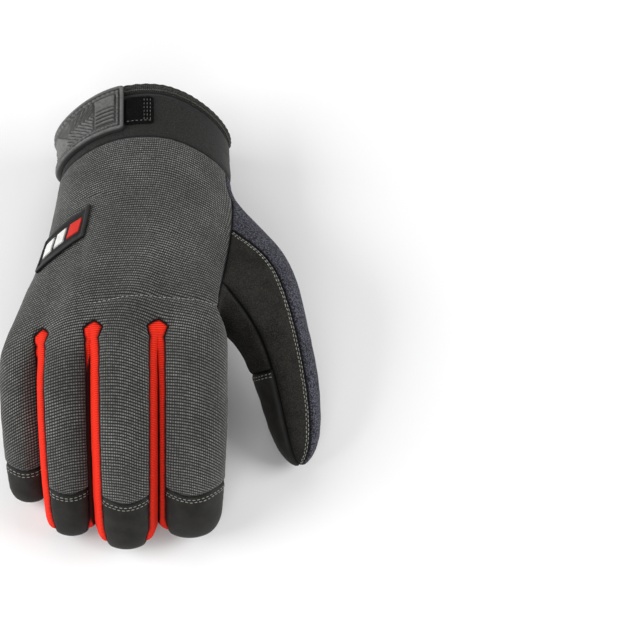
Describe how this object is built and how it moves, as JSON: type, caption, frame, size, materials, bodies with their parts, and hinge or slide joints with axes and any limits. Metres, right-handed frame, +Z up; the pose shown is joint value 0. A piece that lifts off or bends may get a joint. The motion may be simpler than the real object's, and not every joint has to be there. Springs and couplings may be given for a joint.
{
  "type": "synthetic leather work glove",
  "caption": "Right-hand work glove with a knit back, synthetic leather palm, red stretch side panels, terry thumb panel and a cuff with a closure strap.",
  "frame": {"origin": "middle of the flat underside of the badge under the cuff, on the surface the glove lies on", "axes": "+Z up from the surface, +Y from the fingertips to the cuff, +X towards the thumb"},
  "size_m": [0.1398, 0.2184, 0.0643],
  "materials": {
    "charcoal_knit": "ribbed knit",
    "black_synthetic_leather": "matt suede-like",
    "smooth_touch_leather": "smooth matt",
    "red_stretch_fabric": "ribbed stretch",
    "navy_terry": "looped terry",
    "black_neoprene": "matt, fabric faced",
    "grey_moulded_rubber": "satin",
    "black_webbing": "woven"
  },
  "bodies": {
    "root": {"back_panel": "charcoal_knit", "palm_panel": "black_synthetic_leather", "thumb_back_panel": "black_synthetic_leather", "thumb_wipe_panel": "navy_terry", "fourchette_little_ring": "red_stretch_fabric", "fourchette_ring_middle": "red_stretch_fabric", "fourchette_middle_index": "red_stretch_fabric", "fingertip_cap_little": "black_synthetic_leather", "fingertip_cap_ring": "black_synthetic_leather", "fingertip_cap_middle": "black_synthetic_leather", "fingertip_cap_index": "black_synthetic_leather", "index_touch_pad": "smooth_touch_leather", "thumb_touch_pad": "smooth_touch_leather", "cuff_band": "black_neoprene", "cuff_binding": "black_webbing", "cuff_closure": "grey_moulded_rubber", "cuff_patch": "black_webbing", "pull_tab": "black_webbing", "pull_tab_badge": "grey_moulded_rubber", "back_badge": "grey_moulded_rubber"}
  },
  "joints": []
}
